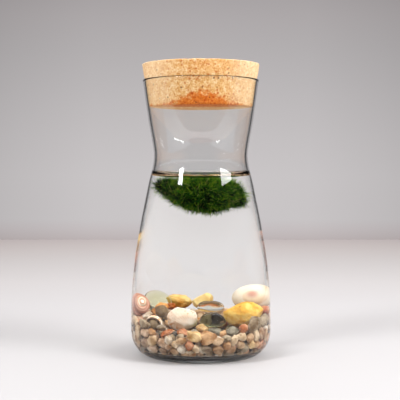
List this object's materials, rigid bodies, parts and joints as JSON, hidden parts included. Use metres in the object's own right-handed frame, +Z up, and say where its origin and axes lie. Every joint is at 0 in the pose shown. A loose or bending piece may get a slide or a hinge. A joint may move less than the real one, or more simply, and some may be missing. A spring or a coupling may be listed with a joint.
{
  "type": "marimo moss ball in a jar",
  "caption": "Moss ball floating in a waisted clear glass jar of water with a cork stopper, over gravel, shells, stones and glass nuggets.",
  "frame": {"origin": "middle of the jar's flat underside", "axes": "+Z up along the jar's axis; -Y is the side seen first"},
  "size_m": [0.087, 0.087, 0.18],
  "materials": {
    "clear_glass": "clear, fire polished",
    "cork": "agglomerated cork, fine speckle, damp brown stain low on the front",
    "water": "clear water",
    "moss": "dark green filaments with a yellow-green fringe",
    "gravel": "washed river gravel in cream, tan, pink, ochre and grey",
    "turban_shell": "pinkish brown spiral shell with a cream apex",
    "moon_shell": "smooth cream spiral shell with a pink-brown apex",
    "white_shell": "chalky white shell with tan dots",
    "brown_stone": "wet brown pebble",
    "green_nugget": "pale green glass",
    "clear_nugget": "clear glass",
    "dark_nugget": "smoky green glass",
    "yellow_stone": "bright yellow quartz, matt",
    "amber_stone": "banded cream and amber",
    "pale_stone": "pale yellow, waxy",
    "rust_stone": "rust brown, wet"
  },
  "bodies": {
    "root": {"jar": "clear_glass", "cork_stopper": "cork", "water": "water", "marimo_ball": "moss", "gravel_bed": "gravel", "turban_shell": "turban_shell", "moon_shell": "moon_shell", "cup_shell": "white_shell", "cup_pebble": "brown_stone", "white_shell": "white_shell", "brown_pebble": "brown_stone", "green_nugget": "green_nugget", "clear_nugget": "clear_nugget", "dark_nugget": "dark_nugget", "yellow_stone": "yellow_stone", "amber_stone": "amber_stone", "pale_stone": "pale_stone", "rust_pebble": "rust_stone"}
  },
  "joints": []
}
